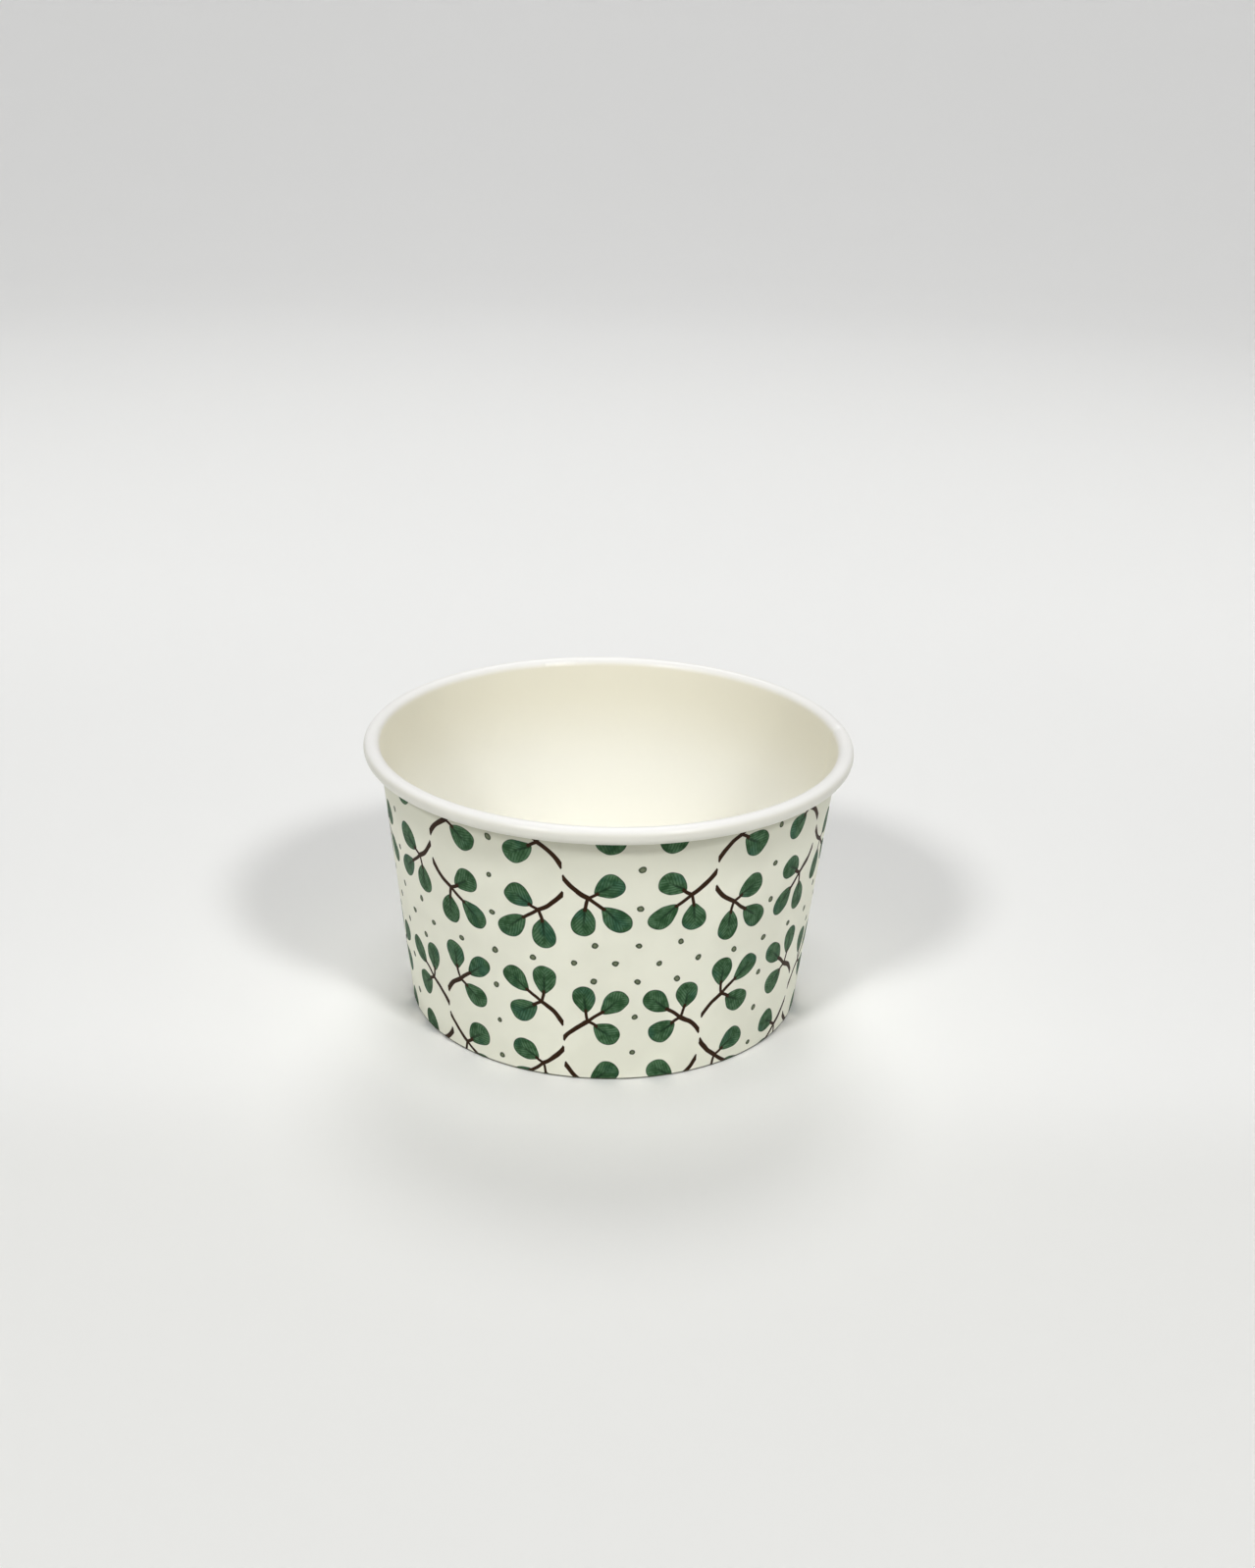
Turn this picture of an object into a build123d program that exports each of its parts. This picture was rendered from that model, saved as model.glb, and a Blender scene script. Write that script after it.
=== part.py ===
from build123d import *
from math import acos, asin, atan2, cos, degrees, hypot, radians, sin, sqrt
import os

# Paper snack bowl, made of two pieces of coated paperboard.
# The side wall is a fan-shaped blank wrapped to a cone, lapped and sealed along a side seam, rolled outward
# at the top into the rim, and turned in and up at the bottom as a hem.
# The base is a round blank with a drawn skirt, clamped between the wall and the hem.
# The origin is the middle of the circle that the bowl rests on, and +Z is up.
# The front faces -Y.

# Overall sizes, in millimetres
rim_diameter = 115.0
base_diameter = 94.0
height = 66.0

# Thickness of the two blanks
board = 0.35
base_board = 0.35

# Rolled rim: the blank turns outward about one centre, then about a second one that tucks its edge in
roll_radius = 1.9
roll_gap = 0.1
tuck_angle = -60.0

# Hem: the fold that the bowl rests on, pressed flat between its two corners
hem_height = 5.5
fold_radius = 0.08
fold_growth = 0.7

# Base: the film of coating that seals each side of its skirt, the bend between its flat and its skirt,
# and the room left above the hem and below the skirt
film = 0.02
base_bend = 0.6
hem_clearance = 0.6
skirt_clearance = 0.5

# Side seam: the lap of the blank's edges at half height, where it stands, and the run of the step over it
lap_width = 8.0
seam_azimuth = 2.4
step_width = 1.8

# Wall line: the printed side runs from the resting circle and is tangent to the hollow of the rim's roll
base_radius = base_diameter / 2
roll_centre = (rim_diameter / 2 - roll_radius, height - roll_radius)
roll_distance = hypot(roll_centre[0] - base_radius, roll_centre[1])
hollow_radius = roll_radius - board
tilt = atan2(roll_centre[0] - base_radius, roll_centre[1]) - asin(hollow_radius / roll_distance)
wall_slant = sqrt(roll_distance**2 - hollow_radius**2)

# Tucked end of the roll: a smaller arc, tangent to the first, that comes back to the wall with roll_gap left
tuck_share = cos(radians(tuck_angle) + tilt)
tuck_radius = (hollow_radius + roll_radius * tuck_share - roll_gap) / (1 + tuck_share)
tuck_shift = roll_radius - tuck_radius
tuck_centre = (
    roll_centre[0] + tuck_shift * cos(radians(tuck_angle)),
    roll_centre[1] + tuck_shift * sin(radians(tuck_angle)),
)
wall_direction = 180 - degrees(tilt)

# Side seam in degrees about the axis
seam_radius = (base_diameter + rim_diameter) / 4
lap_angle = degrees(lap_width / seam_radius)
step_angle = degrees(step_width / seam_radius)
lap_start = seam_azimuth - lap_angle / 2
lap_end = seam_azimuth + lap_angle / 2


def meridian(azimuth):
    """The upright plane through the axis, with its X pointing outward and its Y up."""
    turn = radians(azimuth)
    return Plane(origin=(0, 0, 0), x_dir=(cos(turn), sin(turn), 0), z_dir=(sin(turn), -cos(turn), 0))


def wall_point(slant, offset):
    """A point at a distance up the wall, and outward from its printed side."""
    return (
        base_radius + slant * sin(tilt) + offset * cos(tilt),
        slant * cos(tilt) - offset * sin(tilt),
    )


def wall_at_level(level, offset):
    """The point of the same line that stands at a level above the table."""
    return wall_point((level + offset * sin(tilt)) / cos(tilt), offset)


def roll_end(centre, radius, angle):
    return (centre[0] + radius * cos(radians(angle)), centre[1] + radius * sin(radians(angle)))


def blank_section(azimuth, near, far, stack):
    """The folded blank cut by a meridian plane.

    near and far are depths from the food side of the board: 0 to board is one layer, and board to
    2 * board is the flap that laps over it. stack is the thickness of all layers at that azimuth.
    """
    tuck_end = wall_direction - 360 + degrees(acos(1 - (stack - board) / tuck_radius))
    hem_top = hem_height / cos(tilt)
    ends = []
    with BuildSketch(meridian(azimuth)) as section:
        with BuildLine():
            for depth in (near, far):
                wall_offset = depth - board
                hem_offset = -board - base_board - 2 * film - depth
                level = stack - depth
                hem_start = wall_point(hem_top, hem_offset)
                FilletPolyline(
                    hem_start,
                    wall_at_level(level, hem_offset),
                    wall_at_level(level, wall_offset),
                    wall_point(wall_slant, wall_offset),
                    radius=fold_radius + fold_growth * depth,
                )
                CenterArc(roll_centre, roll_radius - depth, wall_direction, tuck_angle - wall_direction)
                CenterArc(tuck_centre, tuck_radius - depth, tuck_angle, tuck_end - tuck_angle)
                ends.append((hem_start, roll_end(tuck_centre, tuck_radius - depth, tuck_end)))
            Line(ends[0][0], ends[1][0])
            Line(ends[0][1], ends[1][1])
        make_face()
    return section.sketch


os.makedirs("parts", exist_ok=True)

# Side wall: from the lap, where both layers are sealed together, the blank runs once round.
# The outer layer steps in from the lap, and the inner one lifts off the resting circle to pass under it.
with BuildPart() as side_wall:
    revolve(
        blank_section(lap_start, 0, 2 * board, 2 * board),
        axis=Axis.Z,
        revolution_arc=lap_angle,
    )
    loft(
        [
            blank_section(lap_end, board, 2 * board, 2 * board),
            blank_section(lap_end + step_angle, 0, board, board),
        ],
        ruled=True,
    )
    revolve(
        blank_section(lap_end + step_angle, 0, board, board),
        axis=Axis.Z,
        revolution_arc=360 - lap_angle - 2 * step_angle,
    )
    loft(
        [
            blank_section(lap_start - step_angle, 0, board, board),
            blank_section(lap_start, 0, board, 2 * board),
        ],
        ruled=True,
    )
side_wall.part.label = "side_wall"
export_step(side_wall.part, "parts/side_wall.step")

# Base: the flat stands above the hem, and its skirt reaches down between the wall and the hem
base_underside = hem_height + hem_clearance + base_bend
skirt_end = 2 * board + skirt_clearance
skirt_outside = -board - film
skirt_inside = skirt_outside - base_board
with BuildPart() as base_disc:
    with BuildSketch(Plane.XZ):
        with BuildLine():
            top = FilletPolyline(
                (0, base_underside + base_board),
                wall_at_level(base_underside + base_board, skirt_outside),
                wall_at_level(skirt_end, skirt_outside),
                radius=base_bend + base_board,
            )
            bottom = FilletPolyline(
                (0, base_underside),
                wall_at_level(base_underside, skirt_inside),
                wall_at_level(skirt_end, skirt_inside),
                radius=base_bend,
            )
            Line(top @ 0, bottom @ 0)
            Line(top @ 1, bottom @ 1)
        make_face()
    revolve(axis=Axis.Z)
base_disc.part.label = "base_disc"
export_step(base_disc.part, "parts/base_disc.step")
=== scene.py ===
import math

import bmesh
import bpy
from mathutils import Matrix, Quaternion, Vector

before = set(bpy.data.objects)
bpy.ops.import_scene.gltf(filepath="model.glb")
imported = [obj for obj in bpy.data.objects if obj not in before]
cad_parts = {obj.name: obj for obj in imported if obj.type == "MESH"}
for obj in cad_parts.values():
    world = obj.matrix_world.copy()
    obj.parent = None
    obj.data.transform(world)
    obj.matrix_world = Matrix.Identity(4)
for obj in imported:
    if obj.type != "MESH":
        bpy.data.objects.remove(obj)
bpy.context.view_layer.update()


# The view: a long lens a little above the bowl, looking down into it from the front. The camera is tipped
# slightly, so that the right side of the bowl sits lower in the frame.
camera_place = Vector((0.0, -0.4321, 0.2311))
camera_aim = Vector((0.0046, 0.0, 0.0531))
camera_tip = math.radians(1.47)
long_side_pixels = 1598
lens_pixels = 2000
film_width = 36.0

photo_camera = bpy.data.cameras.new("photo_camera")
photo_camera.sensor_width = film_width
photo_camera.lens = lens_pixels * film_width / long_side_pixels
photo_camera.clip_start = 0.01
camera = bpy.data.objects.new("photo_camera", photo_camera)
bpy.context.scene.collection.objects.link(camera)
camera.location = camera_place
camera.rotation_mode = "QUATERNION"
level_look = (camera_aim - camera_place).to_track_quat("-Z", "Y")
camera.rotation_quaternion = level_look @ Quaternion((0.0, 0.0, 1.0), camera_tip)
bpy.context.scene.camera = camera
bpy.context.scene.view_settings.view_transform = "Standard"


# Side wall: one fan of coated board wrapped to a cone, lapped and sealed at the side, rolled outward at
# the rim and hemmed at the foot. The food side, which also shows on the roll, is plain white coating.
# The outer side is printed with leaf sprigs and dots on an ivory field, and the print ends at the seam.
class Wire:
    """An output of a material's nodes. A sum written with it adds the Math nodes that work it out."""

    def __init__(self, socket):
        self.socket = socket

    def node(self, kind, settings, inputs):
        """Adds a node to the same material: first its settings, then the values or wires of its inputs."""
        tree = self.socket.id_data
        made = tree.nodes.new(kind)
        for name, value in settings.items():
            setattr(made, name, value)
        for name, value in inputs.items():
            if isinstance(value, Wire):
                tree.links.new(value.socket, made.inputs[name])
            else:
                made.inputs[name].default_value = value
        return Wire(next(output for output in made.outputs if output.enabled))

    def __getitem__(self, output):
        return Wire(self.socket.node.outputs[output])

    def math(self, operation, *values):
        return self.node("ShaderNodeMath", {"operation": operation}, dict(enumerate(values)))

    def __add__(self, other):
        return self.math("ADD", self, other)

    def __radd__(self, other):
        return self.math("ADD", other, self)

    def __sub__(self, other):
        return self.math("SUBTRACT", self, other)

    def __rsub__(self, other):
        return self.math("SUBTRACT", other, self)

    def __mul__(self, other):
        return self.math("MULTIPLY", self, other)

    def __rmul__(self, other):
        return self.math("MULTIPLY", other, self)

    def __truediv__(self, other):
        return self.math("DIVIDE", self, other)

    def __rtruediv__(self, other):
        return self.math("DIVIDE", other, self)

    def __gt__(self, other):
        return self.math("GREATER_THAN", self, other)

    def __lt__(self, other):
        return self.math("LESS_THAN", self, other)

    def __and__(self, other):
        return self.math("MINIMUM", self, other)

    def __rand__(self, other):
        return self.math("MINIMUM", other, self)

    def __or__(self, other):
        return self.math("MAXIMUM", self, other)

    def __ror__(self, other):
        return self.math("MAXIMUM", other, self)

    def __abs__(self):
        return self.math("ABSOLUTE", self)

    def __neg__(self):
        return self.math("MULTIPLY", self, -1.0)


def start_material(name):
    """A new material: its surface shader's node, and a wire on the place of each point in the piece."""
    material = bpy.data.materials.new(name)
    material.use_nodes = True
    surface = material.node_tree.nodes["Principled BSDF"]
    place = Wire(surface.outputs["BSDF"]).node("ShaderNodeTexCoord", {}, {})["Object"]
    return material, surface, place


def feed(surface, **wires):
    """Links wires to the surface shader's sockets."""
    for name, wire in wires.items():
        surface.id_data.links.new(wire.socket, surface.inputs[name.replace("_", " ")])


def colour(red, green, blue):
    """A 0 to 255 colour as the linear values that a shader takes."""
    return (*((value / 255) ** 2.2 for value in (red, green, blue)), 1.0)


def paint(under, over, mask):
    """One colour laid over another where the mask is 1. A Mix node's colours are its sockets 6 and 7."""
    return mask.node("ShaderNodeMix", {"data_type": "RGBA"}, {"Factor": mask, 6: under, 7: over})


def rise(value, start, end):
    """0 where the value is at start, 1 where it is at end, with soft shoulders."""
    return value.node(
        "ShaderNodeMapRange",
        {"interpolation_type": "SMOOTHSTEP"},
        {"Value": value, "From Min": start, "From Max": end},
    )


def there_and_back(value, step):
    """The value folded, so that it runs from 0 up to the step and back to 0, again and again."""
    return value.math("PINGPONG", value, step)


def span(along, up):
    """The length of the straight line that goes so far along and so far up."""
    return along.math("SQRT", along * along + up * up)


def move(operation, *vectors):
    """Vectors added, subtracted or multiplied."""
    return vectors[0].node("ShaderNodeVectorMath", {"operation": operation}, dict(enumerate(vectors)))


def parts(vector):
    """A vector's X, Y and Z."""
    return vector.node("ShaderNodeSeparateXYZ", {}, {0: vector})


def cloud(place, grain, detail=2.0):
    """Soft noise with blotches about grain millimetres across."""
    return place.node(
        "ShaderNodeTexNoise", {}, {"Vector": place, "Scale": 1.0 / grain, "Detail": detail}
    )


def blotches(place, grain, start, end, detail=2.0):
    """The same noise with more contrast: 0 below start and 1 above end."""
    return rise(cloud(place, grain, detail), start, end)


def tooth(fibres, strength):
    """The fine tooth of coated board, 0.03 mm deep."""
    return fibres.node("ShaderNodeBump", {}, {"Strength": strength, "Distance": 0.00003, "Height": fibres})


mm = (1000.0, 1000.0, 1000.0)
printed_board, board_surface, place = start_material("printed_board")
place_mm = move("MULTIPLY", place, mm)
point = parts(place_mm)
east, north, level = point["X"], point["Y"], point["Z"]
facing = parts(place["Normal"])
radius = span(east, north)
outward = (east * facing["X"] + north * facing["Y"]) / radius
sideways = abs(north * facing["X"] - east * facing["Y"]) / radius

# The printed side shows outside below the roll, and inside the hem, where it turns back up. Stand-off is
# how far out a point is from the printed face of a single layer, and the lap's outer layer is further out.
foot_radius = 47.0
wall_tilt = math.radians(6.27)
roll_underside = 62.3
above_hem = 6.0
faces_out, faces_in = 0.3, -0.3
past_lap, past_wall, past_skirt = 0.7, -0.2, -0.9
stand_off = (radius - foot_radius - level * math.tan(wall_tilt)) * math.cos(wall_tilt)
outer_side = (outward > faces_out) * (level < roll_underside) * (stand_off < past_lap)
outer_side = outer_side * (stand_off > past_wall)
hem_side = (outward < faces_in) * (stand_off < past_skirt) * (level < above_hem)
printed_side = outer_side | hem_side

# The print wanders as if drawn by hand. It runs on past the fold, so inside the hem its heights are negative.
wander_grain = 9.0
wander_reach = (1.6, 1.6, 1.6)
wander = move("SUBTRACT", cloud(place_mm, wander_grain)["Color"], (0.5, 0.5, 0.5))
drawn = parts(move("ADD", place_mm, move("MULTIPLY", wander, wander_reach)))
drawn_level = drawn["Z"] * (1.0 - 2.0 * hem_side)

# The blank's own coordinates: height, and degrees round the bowl from the front, which jump at the seam
seam_edge = 88.0
opposite = math.radians(seam_edge - 180)
ahead = drawn["X"] * math.sin(opposite) - drawn["Y"] * math.cos(opposite)
aside = drawn["X"] * math.cos(opposite) + drawn["Y"] * math.sin(opposite)
azimuth = aside.math("ARCTAN2", aside, ahead) * (180 / math.pi) + (seam_edge - 180)

# The repeat: sprigs grow from joints in columns, each column mirrors the next, and the lower row mirrors
# the upper one. The two sprigs on a joint's long side start a gap away from it. x and y are millimetres
# from the start of a sprig.
column_pitch = 37.2
mirror_line = 8.3
mm_per_degree = 0.87
middle_level = 31.7
joint_from_middle = 22.4
long_side_gap = 4.2
round_way = there_and_back(azimuth - mirror_line, column_pitch)
up = abs(drawn_level - middle_level) - joint_from_middle
across = (round_way - column_pitch / 2) * mm_per_degree * (1.0 - 2.0 * (up > 0.0))
long_side = across > 0.0
x = abs(across)
y = abs(up) - long_side_gap * long_side

# One sprig: a stem that bows outward, a long leaf at its end and a rounder one each side. A leaf is
# widest past its middle, with a dark rib from its foot and veins that slant off it. Its half length and
# half width count as 1, so its edge is at 1. Each pair says where a line fades out and where it is full.
egg = 0.24
pinch = 0.22
leaf_edge = (1.04, 0.94)
rib_edge, rib_end = (0.15, 0.04), (0.75, -0.4)
vein_step = 0.5
vein_edge, vein_end = (0.35, 0.05), (0.95, 0.6)
leaves = [
    # x and y of the centre, turn from the x axis, length, width
    (11.1, 11.2, 42.0, 7.7, 5.1),
    (4.4, 12.2, 93.0, 7.2, 5.2),
    (9.4, 3.4, -32.0, 6.9, 5.6),
]
far_off = 9.0
outline, rib, veins = far_off, 0.0, 0.0
for centre_x, centre_y, turn, length, width in leaves:
    lean = math.radians(turn)
    run = ((x - centre_x) * math.cos(lean) + (y - centre_y) * math.sin(lean)) * (2 / length)
    off = abs((y - centre_y) * math.cos(lean) - (x - centre_x) * math.sin(lean)) * (2 / width)
    slim = off / (1.0 + egg * run - pinch * run * run * (run < 0.0))
    reach = run * run + slim * slim
    slant = (run - off) * (length / 2)
    outline = outline & reach
    rib = rib | (rise(off, *rib_edge) * rise(run, *rib_end) * (reach < 1.0))
    veins = veins | (rise(there_and_back(slant, vein_step), *vein_edge) * rise(reach, *vein_end))
leaf_mask = rise(outline, *leaf_edge)


def stroke(start, end, bow, half_width, softness=0.07):
    """A brush stroke between two points of the sprig, which bows to its left along a round arc."""
    length = math.dist(start, end)
    run_x, run_y = (end[0] - start[0]) / length, (end[1] - start[1]) / length
    arc_radius = length * length / (8 * bow) + bow / 2
    centre_x = (start[0] + end[0]) / 2 + (arc_radius - bow) * run_y
    centre_y = (start[1] + end[1]) / 2 - (arc_radius - bow) * run_x
    run = (x - start[0]) * run_x + (y - start[1]) * run_y
    off = abs(span(x - centre_x, y - centre_y) - arc_radius)
    past_end = ((run - length) | -run) + half_width
    return rise(off | past_end, half_width + softness, half_width - softness)


stems = [
    # start, end, bow, half width
    ((-0.1, 1.0), (5.2, 6.3), 0.5, 0.56),
    ((5.0, 6.1), (8.9, 9.2), 0.1, 0.43),
    ((5.2, 6.3), (4.6, 9.6), 0.1, 0.37),
    ((5.2, 6.3), (7.4, 4.9), 0.1, 0.4),
]
stem_mask = 0.0
for stem in stems:
    stem_mask = stem_mask | stroke(*stem)

# Under the roll the sprig on the long side would show only the foot of its stem, so it isn't printed
stems_end = 57.5
stem_mask = stem_mask * (1.0 - long_side * (drawn_level > stems_end))

# Dots: a row between the two rows of sprigs, with pairs above and below it, and a column between each two
# columns of sprigs. A little wobble keeps them from being quite round.
dot_level = 31.1
dot_row = column_pitch / 3.5
dot_step = 9.5
dot_size = 0.74
dot_softness = 0.09
dot_wobble = 0.55
wobble_grain = 1.5
dot_height = abs(drawn_level - dot_level)
far_line = round_way > column_pitch / 2
to_line = there_and_back(azimuth - mirror_line, column_pitch / 2) * mm_per_degree
to_step = there_and_back(dot_height + dot_step / 2 * (1.0 - far_line), dot_step / 2)
along_row = there_and_back(round_way - dot_row / 2, dot_row / 2) * mm_per_degree
column_distance = span(to_line, to_step)
row_distance = span(along_row, dot_height)
pair_distance = span((round_way - dot_row) * mm_per_degree, dot_height - dot_step / 2)
wobble = dot_wobble * (cloud(place_mm, wobble_grain, 1.0) - 0.5)
dot_distance = (column_distance & row_distance & pair_distance) - wobble
dot_mask = rise(dot_distance, dot_size + dot_softness, dot_size - dot_softness)

# Inks: a mottled green wash that is bluer in places, with darker veins, ribs and edges to the leaves.
# The dots are darker at their edge too.
deep_green, pale_green, blue_green = colour(45, 77, 47), colour(80, 113, 82), colour(46, 88, 76)
vein_green, rib_green = colour(33, 63, 41), colour(24, 46, 30)
dot_middle, dot_edge = colour(108, 116, 92), colour(60, 70, 52)
stem_brown = colour(50, 31, 14)
leaf_line = rise(outline, 0.8, 0.97)
leaf_ink = paint(deep_green, pale_green, blotches(place_mm, 1.6, 0.32, 0.68, 3.0))
leaf_ink = paint(leaf_ink, blue_green, blotches(place_mm, 6.0, 0.5, 0.7) * 0.5)
leaf_ink = paint(leaf_ink, vein_green, veins * 0.6)
leaf_ink = paint(leaf_ink, rib_green, (rib * 0.8) | (leaf_line * 0.7))
dot_ink = paint(dot_middle, dot_edge, rise(dot_distance, 0.2, 0.62))

# Painted shade under the roll: the ivory darkens a little below it, and more just beneath it
ivory, clouded_ivory = colour(236, 236, 220), colour(230, 230, 214)
roll_shade_ivory, roll_contact_shade_ivory = colour(211, 211, 195), colour(196, 196, 180)
roll_shade_levels, roll_contact_shade_levels = (47.0, 59.0), (59.5, 62.0)
field = paint(ivory, clouded_ivory, blotches(place_mm, 14.0, 0.35, 0.65))
field = paint(field, roll_shade_ivory, rise(level, *roll_shade_levels))
field = paint(field, roll_contact_shade_ivory, rise(level, *roll_contact_shade_levels))

# A painted contact shadow: a grey hairline along the fold that the bowl rests on
contact_shadow_grey = colour(76, 78, 64)
contact_shadow_levels = (0.58, 0.34)
contact_shadow_line = rise(level, *contact_shadow_levels) * 0.88
print_colour = paint(field, dot_ink, dot_mask)
print_colour = paint(print_colour, leaf_ink, leaf_mask)
print_colour = paint(print_colour, stem_brown, stem_mask)
print_colour = paint(print_colour, contact_shadow_grey, contact_shadow_line)

# Painted light and shade on the coating: it is painted whitest deep inside, as a glow, and on top of the
# roll, as a highlight, and greyer where the roll turns under, as shade
upper_white, deep_painted_glow = colour(245, 241, 223), colour(255, 254, 246)
roll_top_highlight, roll_under_shade = colour(252, 251, 247), colour(221, 220, 210)
deep_glow_levels, roll_highlight_levels = (62.0, 34.0), (64.0, 65.6)
roll_shade_mask = rise(facing["Z"], 0.95, 0.1) * rise(outward, -0.2, 0.4) * (level > roll_underside)
coating = paint(upper_white, deep_painted_glow, rise(level, *deep_glow_levels))
coating = paint(coating, roll_top_highlight, rise(level, *roll_highlight_levels))
coating = paint(coating, roll_under_shade, roll_shade_mask)

# The cut edge of the lap shows the board's own colour
raw_board = colour(240, 236, 224)
both_sides = paint(coating, print_colour, printed_side)
fibres = cloud(place_mm, 0.5, 4.0)
feed(
    board_surface,
    Base_Color=paint(both_sides, raw_board, rise(sideways, 0.6, 0.8)),
    Roughness=0.42 + 0.1 * fibres + 0.08 * printed_side,
    Coat_Weight=0.6 - 0.6 * printed_side,
    Normal=tooth(fibres, 0.25),
)
board_surface.inputs["Specular IOR Level"].default_value = 0.12
board_surface.inputs["Coat Roughness"].default_value = 0.3
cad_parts["side_wall"].material_slots[0].material = printed_board


# Base: a round blank of the same board with its edge drawn down into a skirt, which is clamped in the
# hem. White coating on the food side, bare pale board underneath.
plain_board, base_surface, place = start_material("plain_board")
place_mm = move("MULTIPLY", place, mm)
mottle = blotches(place_mm, 6.0, 0.35, 0.65)
food_side = paint(colour(251, 249, 239), colour(248, 246, 234), mottle)
bare_side = paint(colour(232, 226, 208), colour(224, 217, 197), mottle)
fibres = cloud(place_mm, 0.5, 4.0)
feed(
    base_surface,
    Base_Color=paint(food_side, bare_side, parts(place["Normal"])["Z"] < -0.2),
    Roughness=0.44 + 0.12 * fibres,
    Normal=tooth(fibres, 0.3),
)
base_surface.inputs["Specular IOR Level"].default_value = 0.25
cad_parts["base_disc"].material_slots[0].material = plain_board


# Studio: a white paper floor whose edge sweeps up all round, two soft lamps in front to the left and
# right, a wide one behind and one overhead, and a pale sky that only shows past the paper's edge and in
# reflections.
floor_reach = 1.1
sweep_radius = 0.6
sweep_steps = 10
stage_mesh = bmesh.new()
bmesh.ops.create_circle(stage_mesh, cap_ends=True, segments=96, radius=floor_reach)
edge = list(stage_mesh.edges)
for step in range(1, sweep_steps + 1):
    turn = math.radians(90) * step / sweep_steps
    last = math.radians(90) * (step - 1) / sweep_steps
    grow = (floor_reach + sweep_radius * math.sin(turn)) / (floor_reach + sweep_radius * math.sin(last))
    lift = sweep_radius * (math.cos(last) - math.cos(turn))
    made = bmesh.ops.extrude_edge_only(stage_mesh, edges=edge)["geom"]
    edge = [part for part in made if isinstance(part, bmesh.types.BMEdge)]
    ring = [part for part in made if isinstance(part, bmesh.types.BMVert)]
    bmesh.ops.scale(stage_mesh, vec=(grow, grow, 1.0), verts=ring)
    bmesh.ops.translate(stage_mesh, vec=(0.0, 0.0, lift), verts=ring)
bmesh.ops.recalc_face_normals(stage_mesh, faces=stage_mesh.faces)
floor_mesh = bpy.data.meshes.new("paper_sweep")
stage_mesh.to_mesh(floor_mesh)
stage_mesh.free()
for face in floor_mesh.polygons:
    face.use_smooth = True
floor = bpy.data.objects.new("paper_sweep", floor_mesh)
bpy.context.scene.collection.objects.link(floor)


def only_seen(wire):
    """1 where the eye looks, straight, in a gloss or through glass, and 0 where light spreads."""
    rays = wire.node("ShaderNodeLightPath", {}, {})
    return rays["Is Camera Ray"] | rays["Is Glossy Ray"] | rays["Is Transmission Ray"]


# The paper has painted light and shade: it is painted whitest round the bowl, as a pool of light, and greyer,
# as shade, in front of it, up the sweep and towards the front lamps. Where the lamps reach it less, towards
# the back, it glows a little, but to the eye only. Each pair says where a tone starts and where it is full,
# in metres.
paper_sweep, sweep_surface, place = start_material("paper_sweep")
floor_place = parts(place)
back = floor_place["Y"]
from_bowl = span(floor_place["X"], back)
round_bowl, up_sweep = (0.3, 0.1), (0.5, 1.6)
behind_front, to_lamps, to_back = (-0.09, -0.03), (-0.4, -1.4), (0.0, 0.35)
paper_white, bowl_light_pool, front_shade = colour(248, 248, 246), colour(252, 252, 250), colour(241, 241, 238)
sweep_shade, lamp_side_shade = colour(212, 212, 211), colour(198, 198, 197)
no_glow, full_glow = (0.0, 0.0, 0.0, 1.0), (0.09, 0.09, 0.09, 1.0)
paper = paint(paper_white, bowl_light_pool, rise(from_bowl, *round_bowl))
paper = paint(front_shade, paper, rise(back, *behind_front))
paper = paint(paper, sweep_shade, rise(from_bowl, *up_sweep))
paper = paint(paper, lamp_side_shade, rise(back, *to_lamps))
glow = paint(no_glow, full_glow, only_seen(place) * rise(back, *to_back))
feed(sweep_surface, Base_Color=paper, Emission_Color=glow)
sweep_surface.inputs["Emission Strength"].default_value = 1.0
sweep_surface.inputs["Roughness"].default_value = 0.8
floor_mesh.materials.append(paper_sweep)

for name, lamp_place, size, power in [
    # name, place in metres, width in metres, power in watts
    ("lamp_right", (1.047, -1.361, 1.675), 0.4, 20.4),
    ("lamp_left", (-1.022, -1.451, 1.615), 0.4, 20.4),
    ("lamp_behind", (0.0, 1.45, 1.95), 0.9, 14.7),
    ("lamp_above", (0.0, 0.0, 2.4), 0.6, 6.6),
]:
    lamp = bpy.data.lights.new(name, "AREA")
    lamp.shape = "DISK"
    lamp.size = size
    lamp.energy = power
    lamp_object = bpy.data.objects.new(name, lamp)
    bpy.context.scene.collection.objects.link(lamp_object)
    lamp_object.location = lamp_place
    lamp_object.rotation_mode = "QUATERNION"
    lamp_object.rotation_quaternion = (-Vector(lamp_place)).to_track_quat("-Z", "Y")
    lamp_object.visible_camera = False

sky_brightness = 0.62
sky = bpy.data.worlds.new("pale_sky")
sky.use_nodes = True
backdrop = sky.node_tree.nodes["Background"]
backdrop.inputs["Color"].default_value = (1.0, 1.0, 1.0, 1.0)
sky_light = sky_brightness * only_seen(Wire(backdrop.outputs["Background"]))
sky.node_tree.links.new(sky_light.socket, backdrop.inputs["Strength"])
bpy.context.scene.world = sky
